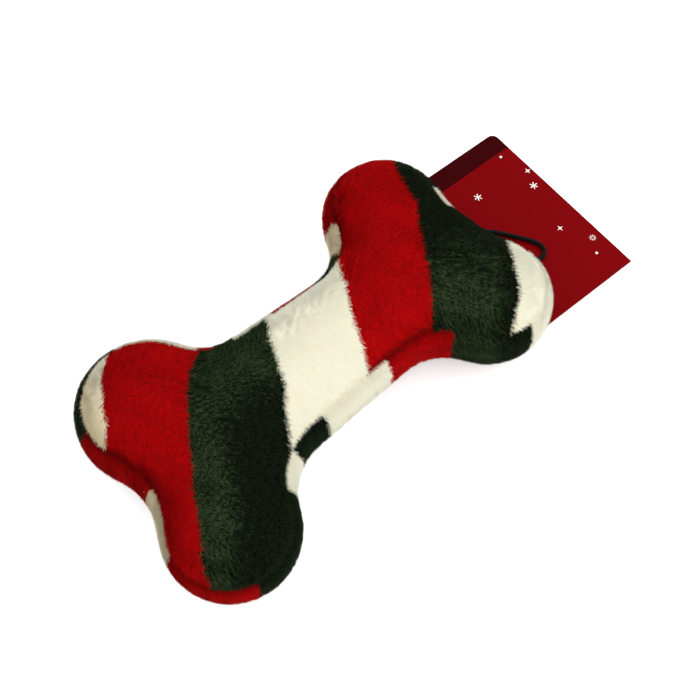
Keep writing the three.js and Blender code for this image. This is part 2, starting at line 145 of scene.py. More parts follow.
# Braided polyester: a matt black cord with hardly any shine, on which the crossing strands of the
# braid show as slanting ribs. They are drawn coarser than real strands, which are too fine to show.
material, tree, shader = new_material("braided_black_elastic")
along_and_around = add_node(tree, "ShaderNodeTexCoord").outputs["UV"]
pitches = LOOP_OUT_OF_SEAM / BRAID_PITCH
strands = []
for lean in (BRAID_STRANDS, -BRAID_STRANDS):
    laid = add_node(
        tree, "ShaderNodeMapping", {"Vector": along_and_around, "Scale": (pitches, lean, 1)},
    )
    axes = add_node(tree, "ShaderNodeSeparateXYZ", {0: laid.outputs[0]}).outputs
    phase = add_node(tree, "ShaderNodeMath", {0: axes[0], 1: axes[1]}, operation="ADD")
    wave = add_node(tree, "ShaderNodeMath", {0: phase.outputs[0], 1: 1.0}, operation="PINGPONG")
    strands.append(wave.outputs[0])
weave = add_node(tree, "ShaderNodeMath", {0: strands[0], 1: strands[1]}, operation="MAXIMUM")
ribs = add_node(
    tree, "ShaderNodeBump", {"Height": weave.outputs[0], "Strength": 0.6, "Distance": BRAID_RELIEF},
)
tree.links.new(ribs.outputs[0], shader.inputs["Normal"])
shader.inputs["Base Color"].default_value = linear(ELASTIC_BLACK)
shader.inputs["Roughness"].default_value = 0.8
shader.inputs["Specular IOR Level"].default_value = 0.15
elastic.data.materials.clear()
elastic.data.materials.append(material)
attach(elastic, "loop")
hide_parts("elastic_loop")

# Stuffed body: the plush shell over its filling, as one closed form. The cloth is drawn in under
# its pile, blown out by the filling between the seams, and pulled in where it is sewn.
MERGE_DISTANCE = 1e-6
FORM_VOXEL = 0.0026
FORM_SMOOTHINGS = 4
PILE_DEPTH = 0.0013
DRAWN_IN_SMOOTHINGS = 2
SEAM_FRONT = 0.0415
SEAM_BACK = 0.0135
SEAM_DIP = 0.0068
DIP_CENTRE = (-0.103, -0.052)
DIP_REACH = 0.034
SEWN_WIDTH = 0.0018
RESTING_DEPTH = 0.0008
CLOTH_FRAMES = 16
CLOTH_CAP = 0.003
LINING_STIFFNESS = 14
TAG_NOTCH = np.array([0.1091, 0.0033])
NOTCH_HALF_WIDTH = 0.004
NOTCH_FULLNESS = 0.0024
NOTCH_REACH = 0.014
SEAM_PULL = 0.0015
SEAM_REACH = 0.0034
PUCKER_SIZE = 0.0003
PUCKER_REACH = 0.0085
PUCKER_SPACING = 0.0060
PUCKER_LENGTH = 0.030
PUCKER_CHANGE = 9.0
REST_LEVEL = 0.0010
PLACES_AT_ONCE = 4000
band_strips = [
    "side_band_tag_end_left", "side_band_shaft_left", "side_band_far_end_left",
    "side_band_far_end_right", "side_band_shaft_right", "side_band_tag_end_right",
]
filling_parts = [name for name in sorted(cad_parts) if name.startswith("filling_")]


def evenly_faced(names, face_size):
    """One mesh of even faces round the named solids, which stay as they are."""
    solid = bmesh.new()
    for name in names:
        solid.from_mesh(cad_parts[name].data)
    bmesh.ops.remove_doubles(solid, verts=solid.verts, dist=MERGE_DISTANCE)
    mesh = bpy.data.meshes.new("rough_form")
    solid.to_mesh(mesh)
    solid.free()
    rough = show("rough_form", mesh)
    remesh = rough.modifiers.new("even_faces", "REMESH")
    remesh.mode = "VOXEL"
    remesh.voxel_size = face_size
    even = baked_mesh(rough)
    bpy.data.objects.remove(rough)
    return even


def smooth(form, times):
    for _ in range(times):
        bmesh.ops.smooth_vert(
            form, verts=form.verts, factor=0.5, use_axis_x=True, use_axis_y=True, use_axis_z=True,
        )


def coordinates(mesh):
    flat = np.empty(len(mesh.vertices) * 3)
    mesh.vertices.foreach_get("co", flat)
    return flat.reshape(-1, 3)


def near(distance, reach):
    """1 where the distance is nothing, fading to 0 past the reach."""
    return np.exp(-(distance / reach) ** 2)


def seam_height(places):
    """Height of each place, counted so that the front seam is level where it dips round a lobe."""
    from_dip = np.linalg.norm(places[:, :2] - np.array(DIP_CENTRE), axis=1)
    share = np.clip((places[:, 2] - SEAM_BACK) / (SEAM_FRONT - SEAM_BACK), 0, 1)
    return places[:, 2] + SEAM_DIP * share * near(from_dip, DIP_REACH)


def seam_distance(height):
    return np.minimum(abs(height - SEAM_FRONT), abs(height - SEAM_BACK))


body = bmesh.new()
stuffed_parts = ["front_panel", "back_panel", *band_strips, *filling_parts]
body.from_mesh(evenly_faced(stuffed_parts, FORM_VOXEL))
not_yet_reached = set(body.verts)
islands = []
while not_yet_reached:
    island, shore = set(), [not_yet_reached.pop()]
    while shore:
        vert = shore.pop()
        island.add(vert)
        for edge in vert.link_edges:
            other = edge.other_vert(vert)
            if other in not_yet_reached:
                not_yet_reached.discard(other)
                shore.append(other)
    islands.append(island)
outer_skin = max(islands, key=len)
bmesh.ops.delete(body, geom=[v for v in body.verts if v not in outer_skin], context="VERTS")
smooth(body, FORM_SMOOTHINGS)
body.normal_update()
for vert in body.verts:
    vert.co -= PILE_DEPTH * vert.normal
smooth(body, DRAWN_IN_SMOOTHINGS)
body_mesh = bpy.data.meshes.new("stuffed_body")
body.to_mesh(body_mesh)
body.free()

sewn = coordinates(body_mesh)
sewn_height = seam_height(sewn)
sewn_normals = np.array([vert.normal[:] for vert in body_mesh.vertices])
stuffed = show("stuffed_body", body_mesh)
formed = sewn.copy()
at_seam = seam_distance(sewn_height) < SEWN_WIDTH
on_floor = sewn[:, 2] < sewn[:, 2].min() + RESTING_DEPTH
held = stuffed.vertex_groups.new(name="sewn_or_resting")
held.add([int(i) for i in np.nonzero(at_seam | on_floor)[0]], 1.0, "REPLACE")
stuffing = stuffed.modifiers.new("stuffing", "CLOTH")
stuffing.settings.quality = 6
stuffing.settings.mass = 0.3
stuffing.settings.tension_stiffness = 8
stuffing.settings.compression_stiffness = 8
stuffing.settings.shear_stiffness = 8
stuffing.settings.bending_stiffness = 1.0
stuffing.settings.shrink_min = -0.006
stuffing.settings.use_pressure = True
stuffing.settings.uniform_pressure_force = 40.0
stuffing.settings.vertex_group_mass = held.name
stuffing.settings.effector_weights.gravity = 0.0
stuffing.collision_settings.use_collision = False
stuffing.point_cache.frame_start = 1
stuffing.point_cache.frame_end = CLOTH_FRAMES
for step in range(1, CLOTH_FRAMES + 1):
    scene.frame_set(step)
swollen = stuffed.evaluated_get(bpy.context.evaluated_depsgraph_get()).to_mesh()
moves = coordinates(swollen) - sewn
moved = np.linalg.norm(moves, axis=1, keepdims=True)
moves *= np.minimum(1.0, CLOTH_CAP / np.maximum(moved, 1e-9))
# The stiff lining spreads each move over the threads beside it, so that no wrinkle is left.
threads = np.array([edge.vertices[:] for edge in body_mesh.edges])
threads = np.concatenate([threads, threads[:, ::-1]])
neighbours = np.bincount(threads[:, 0], minlength=len(sewn))[:, None]
for _ in range(LINING_STIFFNESS):
    beside = [
        np.bincount(threads[:, 0], moves[threads[:, 1], axis], len(sewn)) for axis in range(3)
    ]
    moves = (moves + np.stack(beside, 1) / neighbours) / 2
formed = sewn + moves
stuffed.modifiers.remove(stuffing)
scene.frame_set(1)
bpy.data.objects.remove(stuffed)

# Its middle, halfway up the side band, is cut once to measure the way round the toy.
middle = bmesh.new()
middle.from_mesh(body_mesh)
cut = bmesh.ops.bisect_plane(
    middle, geom=middle.verts[:] + middle.edges[:] + middle.faces[:],
    plane_co=(0, 0, (SEAM_FRONT + SEAM_BACK) / 2), plane_no=(0, 0, 1),
)["geom_cut"]
unwalked = {item for item in cut if isinstance(item, bmesh.types.BMEdge)}
in_notch = [
    vert for edge in unwalked for vert in edge.verts
    if abs(vert.co.y - TAG_NOTCH[1]) < NOTCH_HALF_WIDTH
]
here = max(in_notch, key=lambda v: v.co.x)
girth = [here.co.copy()]
while True:
    onward = [e for e in here.link_edges if e in unwalked]
    if not onward:
        break
    if len(girth) == 1:
        onward.sort(key=lambda e: -e.other_vert(here).co.y)
    unwalked.discard(onward[0])
    here = onward[0].other_vert(here)
    girth.append(here.co.copy())
middle.free()
girth = np.array([place[:2] for place in girth])
girth_steps = np.linalg.norm(np.diff(girth, axis=0), axis=1)
girth_along = np.concatenate([[0.0], np.cumsum(girth_steps)])


def along_girth(places):
    """How far round the toy's middle each place lies, counterclockwise from the tag end's notch."""
    starts, spans = girth[:-1], girth[1:] - girth[:-1]
    result = np.empty(len(places))
    for first in range(0, len(places), PLACES_AT_ONCE):
        plan = places[first:first + PLACES_AT_ONCE, None, :2]
        share = np.clip(((plan - starts) * spans).sum(2) / (spans ** 2).sum(1), 0, 1)
        gap = np.linalg.norm(plan - starts - share[..., None] * spans, axis=2)
        nearest = gap.argmin(1)
        onto = share[np.arange(len(nearest)), nearest] * girth_steps[nearest]
        result[first:first + PLACES_AT_ONCE] = girth_along[nearest] + onto
    return result


around = along_girth(sewn)
for seam_number, level in enumerate((SEAM_FRONT, SEAM_BACK)):
    drop = sewn_height - level
    ruffle = np.array([
        noise.noise((a / PUCKER_SPACING, PUCKER_CHANGE * seam_number, d / PUCKER_LENGTH))
        for a, d in zip(around, drop)
    ])
    pull = -SEAM_PULL * near(drop, SEAM_REACH) + PUCKER_SIZE * ruffle * near(drop, PUCKER_REACH)
    formed += sewn_normals * pull[:, None]
from_notch = np.linalg.norm(sewn[:, :2] - TAG_NOTCH, axis=1)
formed[:, 0] += NOTCH_FULLNESS * near(from_notch, NOTCH_REACH)
formed[:, 2] = np.maximum(formed[:, 2], REST_LEVEL)

# Plush shell: eight pieces of laminated plush, sewn to each other edge to edge. The front and back
# panels have the same slanting stripes, and the side band is made of strips cut the other way.
CLOTH_THICKNESS = 0.0009
CUT_DISTANCE = 1e-5
JOINT_REACH = 0.014
BACK_PANEL_SHIFT = 22
STRIPE_SLOPE = 0.78
FIRST_STRIPE_WIDTH = 45
LAST_STRIPE_WIDTH = 50
END_STRIPE_LENGTH = 0.04
DYES = 3
TONE_STEPS = 8
# Painted shade at each fibre's root and painted light at its tip, as shares of the tone range.
ROOT_PAINTED_SHADE = -0.22
TIP_PAINTED_LIGHT = 0.16
BAKE_MARGIN = 0.02
# Each dye twice: a shaded copy painted at the fibre roots, and a lit copy at the tips.
PLUSH_SHADED_ROOTS = {"cream": "#F5E1B6", "red": "#640203", "green": "#010301"}
PLUSH_LIT_TIPS = {"cream": "#FFFFEA", "red": "#CC0609", "green": "#425735"}
CLOTH_TONE = [6.4, 4.4, 1.4]
cream, red, green = range(DYES)

# Where the colour of a panel changes, in millimetres, from the far end to the tag end.
panel_breaks = [
    [(-105, 29), (-100, 33), (-94, 43), (-87, 54), (-77, 63)],
    [
        (-112, -55), (-109, -46), (-99, -33), (-91, -19), (-84, -10), (-76, 2), (-65, 16), (-56, 27),
        (-40, 39),
    ],
    [
        (-44, -33), (-41, -27.5), (-33, -16.5), (-27, -10), (-21, 3), (-15, 15), (-10, 22.5),
        (-5, 31.5),
    ],
    [(8, -29), (14, -19), (19, -8), (25, 3.5), (31, 12), (32, 16), (41, 27), (43, 60)],
    [(48, -32), (59.5, -18), (70, -3), (79, 11), (88, 21), (94, 42), (102, 54)],
    [(75, -59.5), (79, -56), (90, -49), (94, -43.5), (104, -29), (112, -17)],
]

# Where the colour of a strip changes: x, y and how far the change leans over the band's width, in
# millimetres. The strip's colours follow, counterclockwise.
band_stripes = {
    "side_band_tag_end_left": (
        [(113.2, 13, 1), (116.2, 26, 1), (90.1, 67.4, 1), (51.9, 49, 3), (45.5, 32, 1)],
        [green, cream, green, red, cream, green],
    ),
    "side_band_shaft_left": ([(23.5, 33, -1), (-2, 33, 1)], [green, red, cream]),
    "side_band_far_end_left": (
        [(-37, 33, 0), (-40.2, 41.4, 1), (-70.3, 70.5, 1), (-111.3, 43.5, 1)],
        [green, red, cream, green, red],
    ),
    "side_band_far_end_right": (
        [(-118.7, -28.6, 0), (-97.4, -69.5, 1), (-54.1, -46.5, 2)],
        [cream, red, green, cream],
    ),
    "side_band_shaft_right": ([(-19.4, -33, -1)], [green, cream]),
    "side_band_tag_end_right": (
        [(54.2, -39.8, 0), (85.1, -66.9, 4), (119.4, -31, 2), (118.6, -24, 2)],
        [red, green, cream, red, green],
    ),
}

# Where the strips are joined, counterclockwise in millimetres. The two joints in the end notches
# are cut the other way from those on the flanks.
band_joints = [(109.1, 3.3), (25.5, 33), (-25.6, 33), (-107, 0), (-41, -34), (21.5, -33)]
notch_joints = (band_joints[0], band_joints[3])


def stripe_on_panel(places, shift, mirror):
    """Stripe number of each place on a panel: it passes a whole number where the colour changes."""
    x, y = places[:, 0] * 1000 + shift, places[:, 1] * 1000 * mirror
    lines = []
    for points in panel_breaks:
        xs, ys = np.array(points, float).T
        ends = np.clip(y, ys[0], ys[-1])
        lines.append(np.interp(ends, ys, xs) + (y - ends) * STRIPE_SLOPE)
    lines = np.array([lines[0] - FIRST_STRIPE_WIDTH, *lines, lines[-1] + LAST_STRIPE_WIDTH])
    numbers = np.zeros(len(x))
    for i in range(len(lines) - 1):
        share = (x - lines[i]) / np.maximum(lines[i + 1] - lines[i], 1e-6)
        inside = (x >= lines[i]) & (x < lines[i + 1])
        numbers[inside] = i + share[inside]
    return numbers


def stripe_on_band(places, name):
    """Stripe number of each place on a strip of the side band, from how far round the toy it is."""
    breaks, colours = band_stripes[name]
    where = along_girth(np.array(breaks)[:, :2] / 1000)
    leans = np.array(breaks)[:, 2] / 1000
    height = (places[:, 2] - (SEAM_FRONT + SEAM_BACK) / 2) / (SEAM_FRONT - SEAM_BACK)
    around_here = along_girth(places)
    around_here -= girth_along[-1] * np.round((around_here - where.mean()) / girth_along[-1])
    walk, crossings = [colours[0] + 0.5], []
    for earlier, later in zip(colours, colours[1:]):
        step = 1 if (later - earlier) % DYES == 1 else -1
        crossings.append(walk[-1] + step / 2)
        walk.append(walk[-1] + step)
    edges = where[None] + leans[None] * height[:, None]
    first, last = edges[:, :1] - END_STRIPE_LENGTH, edges[:, -1:] + END_STRIPE_LENGTH
    lengths = np.diff(np.column_stack([first, edges, last]), axis=1)
    numbers = np.full(len(places), walk[0])
    for i, crossing in enumerate(crossings):
        before, after = lengths[:, i], lengths[:, i + 1]
        beyond = around_here - edges[:, i]
        near_edge = (beyond > -before / 2) & (beyond <= after / 2)
        share = np.where(beyond > 0, beyond / after, beyond / before)
        numbers[near_edge] = (crossing + 2 * (walk[i + 1] - crossing) * share)[near_edge]
    numbers[around_here > edges[:, -1] + END_STRIPE_LENGTH / 2] = walk[-1]
    return numbers


def stripe_number(name, places):
    if name == "front_panel":
        return stripe_on_panel(places, 0, 1)
    if name == "back_panel":
        return stripe_on_panel(places, BACK_PANEL_SHIFT, -1)
    return stripe_on_band(places, name)


# The body is cut into the sewn pieces with its seams level, and each point keeps its true place
# and the smooth slope of the body under it.
shell = bmesh.new()
shell.from_mesh(body_mesh)
formed_layer = shell.verts.layers.float_vector.new("formed")
nap_layer = shell.verts.layers.float_vector.new("nap_normal")
for vert, place, facing, height in zip(shell.verts, formed, sewn_normals, sewn_height):
    vert[formed_layer] = place
    vert[nap_layer] = facing
    vert.co.z = height
for level in (SEAM_FRONT, SEAM_BACK):
    bmesh.ops.bisect_plane(
        shell, geom=shell.verts[:] + shell.edges[:] + shell.faces[:], dist=CUT_DISTANCE,
        plane_co=(0, 0, level), plane_no=(0, 0, 1),
    )
for joint in band_joints:
    x, y = joint
    at_joint = [
        face for face in shell.faces
        if SEAM_BACK < face.calc_center_median().z < SEAM_FRONT
        and (face.calc_center_median().xy - Vector((x, y)) / 1000).length < JOINT_REACH
    ]
    across = (0, 1, 0) if joint in notch_joints else (1, 0, 0)
    geom = {item for face in at_joint for item in (*face.verts, *face.edges)} | set(at_joint)
    bmesh.ops.bisect_plane(
        shell, geom=list(geom), dist=CUT_DISTANCE, plane_co=(x / 1000, y / 1000, 0), plane_no=across,
    )

shell.verts.ensure_lookup_table()
shell.verts.index_update()
shell_rest = np.array([vert.co[:] for vert in shell.verts])
shell_formed = np.array([vert[formed_layer][:] for vert in shell.verts])
shell_nap = np.array([vert[nap_layer][:] for vert in shell.verts])
joint_along = along_girth(np.array(band_joints) / 1000)
centres = np.array([face.calc_center_median()[:] for face in shell.faces])
pieces_of_cloth = {name: [] for name in ["front_panel", "back_panel", *band_strips]}
for face, centre, place in zip(shell.faces, centres, along_girth(centres)):
    if centre[2] > SEAM_FRONT:
        pieces_of_cloth["front_panel"].append(face)
    elif centre[2] < SEAM_BACK:
        pieces_of_cloth["back_panel"].append(face)
    else:
        strip = band_strips[int(np.searchsorted(joint_along[1:], place))]
        pieces_of_cloth[strip].append(face)

# Knitted polyester plush, cut and brushed: matt, with painted shade at each fibre's root and painted
# light at its tip. Each fibre's tone also goes by its tuft, with painted shade on some sides and along
# the seams. The stripes are dyed through.
material, tree, shader = new_material("short_pile_polyester_plush")
pile_place = add_node(tree, "ShaderNodeUVMap", uv_map="pile").outputs[0]
pile_axes = add_node(tree, "ShaderNodeSeparateXYZ", {0: pile_place})
stripe = add_node(tree, "ShaderNodeMath", {0: pile_axes.outputs[0]}, operation="FRACT")
colours = []
for dyes in (PLUSH_SHADED_ROOTS, PLUSH_LIT_TIPS):
    ramp = add_node(tree, "ShaderNodeValToRGB", {0: stripe.outputs[0]})
    ramp.color_ramp.interpolation = "CONSTANT"
    ramp.color_ramp.elements[0].color = linear(dyes["cream"])
    ramp.color_ramp.elements[1].position = red / DYES
    ramp.color_ramp.elements[1].color = linear(dyes["red"])
    ramp.color_ramp.elements.new(green / DYES).color = linear(dyes["green"])
    colours.append(ramp.outputs[0])
# Painted shade at the root of each fibre, rising to painted light at its tip.
up_the_fibre = add_node(tree, "ShaderNodeMath", {0: pile_axes.outputs[1]}, operation="FRACT")
rise = add_node(
    tree, "ShaderNodeMapRange",
    {"Value": up_the_fibre.outputs[0], "To Min": ROOT_PAINTED_SHADE, "To Max": TIP_PAINTED_LIGHT},
)
tone = add_node(
    tree, "ShaderNodeMapRange",
    {"Value": pile_axes.outputs[1], "From Max": TONE_STEPS, "To Min": 0.0, "To Max": 1.0},
)
tipped = add_node(
    tree, "ShaderNodeMath", {0: rise.outputs[0], 1: tone.outputs[0]},
    operation="ADD", use_clamp=True,
)
dyed = add_node(
    tree, "ShaderNodeMix", {0: tipped.outputs[0], 6: colours[0], 7: colours[1]}, data_type="RGBA",
)
tree.links.new(dyed.outputs[2], shader.inputs["Base Color"])
shader.inputs["Roughness"].default_value = 0.85
shader.inputs["Specular IOR Level"].default_value = 0.05
plush = material

fabric, nap_normals = {}, {}
for name, faces in pieces_of_cloth.items():
    used = sorted({vert.index for face in faces for vert in face.verts})
    rest = shell_rest[used]
    numbers = stripe_number(name, rest)
    place_of = {index: row for row, index in enumerate(used)}
    mesh = bpy.data.meshes.new("plush_" + name)
    mesh.from_pydata(
        [tuple(p) for p in shell_formed[used]], [],
        [[place_of[vert.index] for vert in face.verts] for face in faces],
    )
    pile_map = mesh.uv_layers.new(name="pile")
    corner_vert = np.empty(len(mesh.loops), int)
    mesh.loops.foreach_get("vertex_index", corner_vert)
    uvs = np.zeros((len(mesh.loops), 2))
    uvs[:, 0] = numbers[corner_vert] / DYES
    for face in mesh.polygons:
        face.use_smooth = True
        corners = list(face.loop_indices)
        uvs[corners, 1] = CLOTH_TONE[int(numbers[corner_vert[corners]].mean()) % DYES]
    pile_map.data.foreach_set("uv", uvs.ravel())
    if name in band_strips:
        unrolled = np.column_stack([along_girth(rest), rest[:, 2]])
    else:
        unrolled = rest[:, :2]
    low, span = unrolled.min(0), np.ptp(unrolled, axis=0)
    laid_flat = BAKE_MARGIN + (1 - 2 * BAKE_MARGIN) * (unrolled - low) / span
    mesh.uv_layers.new(name="OFBake").data.foreach_set("uv", laid_flat[corner_vert].ravel())
    mesh.materials.append(plush)
    piece = show("plush_" + name, mesh)
    wall = piece.modifiers.new("laminated_cloth", "SOLIDIFY")
    wall.thickness = CLOTH_THICKNESS
    wall.offset = -1
    wall.edge_crease_inner = wall.edge_crease_outer = wall.edge_crease_rim = 1.0
    rounding = piece.modifiers.new("rounding", "SUBSURF")
    rounding.levels = rounding.render_levels = 1
    rounding.uv_smooth = "NONE"
    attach(piece, "toy")
    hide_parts(name)
    fabric[name] = piece
    nap_normals[name] = shell_nap[used]
shell.free()

# Pile: the cut fibres of the plush, dyed in the cloth's stripes. They are knitted into the cloth,
# lean the way it was brushed, and stand in loose tufts. Each is a thin closed cone, and far
# coarser than the real fibre, which is too fine to show.
FIBRE_LENGTH = 0.0033
FIBRE_LENGTH_SPREAD = (0.75, 1.15)
FIBRE_RADIUS = 0.00017
FIBRE_SIDES = 3
ROOT_DEPTH = 0.0004
FLOOR_GAP = 0.0001
FIBRE_LEAN = 1.35
FIBRE_LEAN_SPREAD = (0.7, 1.5)
UPRIGHT_AT_SEAM = 0.5
UPRIGHT_REACH = 0.0045
CAUGHT_IN_SEAM = 0.1
CAUGHT_REACH = 0.0022
BRUSHED_TOWARDS = Vector((0.14, -0.99, -0.1))
NAP_ALONG_LEFT = 1.8
NAP_DOWN_RIGHT = 0.9
NAP_SWEEP = 0.020
NAP_SWEEP_SHARE = 0.15
TUFT_SPACING = 0.0045
TUFT_SHARE = 0.35
TUFT_SIZE = 0.0007
LOCK_SPACING = TUFT_SIZE * 1.6
LOCK_SHARE = 0.45
STRAY_SHARE = 0.30
DYE_BLUR = 0.0006
# Tones are steps from dark to light, and each list goes by dye: cream, red, green.
TUFT_TONE = np.array([6.6, 4.5, 1.6])
TUFT_CONTRAST = np.array([1.5, 2.5, 6.0])
CLOUD_SIZE = 0.012
CLOUD_CONTRAST = np.array([0.5, 0.8, 1.6])
FIBRE_CONTRAST = 1.2
# Painted shade: the side band's pile is darker than the panels'.
BAND_SHADE_TONE = np.array([0.5, 0.3, 0.0])
# Painted shade: the pile along the seams is darker, as in a crease.
SEAM_SHADE_TONE = np.array([1.0, 5.0, 3.0])
SEAM_SHADE_REACH = 0.0020
# Painted shade: pile that faces two ways is given darker tones, green facing between the tag end and
# the right, and cream facing the far end.
SHADED_SIDE = np.array([0.75, -0.66, 0.0])
SHADE_START, SHADE_MOST, SHADE_TONE = -0.02, 0.4, 28.0
WARM_SHADE_SIDE = np.array([-1.0, 0.1, 0.0])
WARM_SHADE_START, WARM_SHADE_MOST, WARM_SHADE_TONE = 0.1, 0.5, 12.0
CLOTH_SLOPE_SHARE = 0.3
FIBRE_ROUNDNESS = 0.12
OFF_AXIS = 0.01
DRIFT_WAVES = 12
DRIFT_WAVE_RATES = (2.5, 7.0)
DRIFT_RANGE = 3.5
STEP_MARGIN = 0.02
SWATCH_LOW, SWATCH_HEIGHT, SWATCH_WIDTH = 0.10, 0.06, 0.003
pile_counts = {
    "front_panel": 147000, "back_panel": 60000,
    "side_band_tag_end_left": 24000, "side_band_shaft_left": 10000, "side_band_far_end_left": 30000,
    "side_band_far_end_right": 40000, "side_band_shaft_right": 14000, "side_band_tag_end_right": 36000,
}
fibre_form = bmesh.new()
bmesh.ops.create_cone(
    fibre_form, cap_ends=True, segments=FIBRE_SIDES, radius1=1.0, radius2=0.0, depth=1.0,
)
bmesh.ops.remove_doubles(fibre_form, verts=fibre_form.verts, dist=1e-4)
fibre_form.verts.index_update()
fibre_places = np.array([vert.co[:] for vert in fibre_form.verts])
fibre_faces = [[vert.index for vert in face.verts] for face in fibre_form.faces]
fibre_form.free()
fibre_up = fibre_places[:, 2] - fibre_places[:, 2].min()
random_draws = np.random.default_rng(20)


def unit(vectors):
    return vectors / np.maximum(np.linalg.norm(vectors, axis=1, keepdims=True), 1e-12)


def drift(places, spacing, seed):
    """A smooth random vector at each place, the same every time, that changes over one spacing."""
    waves = np.random.default_rng(seed)
    result = np.zeros((len(places), 3))
    for _ in range(DRIFT_WAVES):
        direction = unit(waves.normal(size=(1, 3)))[0] / spacing * waves.uniform(*DRIFT_WAVE_RATES)
        result += np.sin(places @ direction + waves.uniform(0, 6.28))[:, None] * waves.normal(size=3)
    return result / DRIFT_RANGE


def grow_pile(name, source, count):
    """Fibres of the pile on one piece of plush, each with its stripe, tone and facing."""
    mesh = source.data
    mesh.calc_loop_triangles()
    corners = np.empty(len(mesh.loop_triangles) * 3, int)
    mesh.loop_triangles.foreach_get("vertices", corners)
    corners = corners.reshape(-1, 3)
    places = coordinates(mesh)
    normals = np.array([item.vector[:] for item in mesh.vertex_normals])
    first, second, third = (places[corners[:, i]] for i in range(3))
    areas = np.linalg.norm(np.cross(second - first, third - first), axis=1)
    trio = corners[random_draws.choice(len(corners), size=count, p=areas / areas.sum())]
    shares = random_draws.uniform(size=(count, 2))
    outside = shares.sum(1) > 1
    shares[outside] = 1 - shares[outside]
    shares = np.column_stack([1 - shares.sum(1), shares])[..., None]
    root = (places[trio] * shares).sum(1)
    normal = unit((normals[trio] * shares).sum(1))
    nap_normal = unit((nap_normals[name][trio] * shares).sum(1))
    to_seam = seam_distance(seam_height(root))

    nap = np.array(BRUSHED_TOWARDS)[None] + NAP_SWEEP_SHARE * drift(root, NAP_SWEEP, 3)
    nap += TUFT_SHARE * drift(root, TUFT_SPACING, 4) + LOCK_SHARE * drift(root, LOCK_SPACING, 5)
    nap += STRAY_SHARE * random_draws.normal(size=(count, 3))
    nap[:, 0] += NAP_ALONG_LEFT * np.maximum(normal[:, 1], 0)
    nap[:, 2] += NAP_DOWN_RIGHT * np.minimum(normal[:, 1], 0)
    nap -= (nap * normal).sum(1, keepdims=True) * normal
    lean = FIBRE_LEAN * random_draws.uniform(*FIBRE_LEAN_SPREAD, size=(count, 1))
    lean[:, 0] *= 1 - UPRIGHT_AT_SEAM * near(to_seam, UPRIGHT_REACH)
    heading = unit(normal + lean * unit(nap))
    length = FIBRE_LENGTH * random_draws.uniform(*FIBRE_LENGTH_SPREAD, size=(count, 1))
    length[:, 0] *= 1 - CAUGHT_IN_SEAM * near(to_seam, CAUGHT_REACH)
    across = unit(np.cross(heading, normal + OFF_AXIS))
    beside = np.cross(heading, across)
    low = root - ROOT_DEPTH * heading
    sideways = fibre_places[None, :, 0, None] * across[:, None]
    inwards = fibre_places[None, :, 1, None] * beside[:, None]
    points = (
        low[:, None] + fibre_up[None, :, None] * (length * heading)[:, None]
        + FIBRE_RADIUS * (sideways + inwards)
    )
    points[:, :, 2] = np.maximum(points[:, :, 2], FLOOR_GAP)

    number = stripe_number(name, root + DYE_BLUR * random_draws.normal(size=(count, 3)))
    dye = np.floor(number).astype(int) % DYES
    tuft_tone_and_shade = TUFT_TONE[dye] + TUFT_CONTRAST[dye] * drift(root, TUFT_SIZE, 6)[:, 0]
    tuft_tone_and_shade += CLOUD_CONTRAST[dye] * drift(root, CLOUD_SIZE, 7)[:, 1]
    tuft_tone_and_shade += FIBRE_CONTRAST * random_draws.normal(size=count)
    # Painted shade: darker tones for green facing the shaded side and for cream facing the far end.
    shaded = np.clip(normal @ SHADED_SIDE - SHADE_START, 0, SHADE_MOST)
    warm_shaded = np.clip(normal @ WARM_SHADE_SIDE - WARM_SHADE_START, 0, WARM_SHADE_MOST)
    tuft_tone_and_shade -= (dye == green) * SHADE_TONE * shaded + (dye == cream) * WARM_SHADE_TONE * warm_shaded
    # Painted shade along the seams, as in a crease.
    tuft_tone_and_shade -= SEAM_SHADE_TONE[dye] * near(to_seam, SEAM_SHADE_REACH)
    # Painted shade: the side band's pile is darker.
    if name in band_strips:
        tuft_tone_and_shade -= BAND_SHADE_TONE[dye]
    tone_step = np.clip(np.round(tuft_tone_and_shade), 0, TONE_STEPS - 1)
    facing = unit(CLOTH_SLOPE_SHARE * normal + (1 - CLOTH_SLOPE_SHARE) * nap_normal)
    return points, number, tone_step, facing


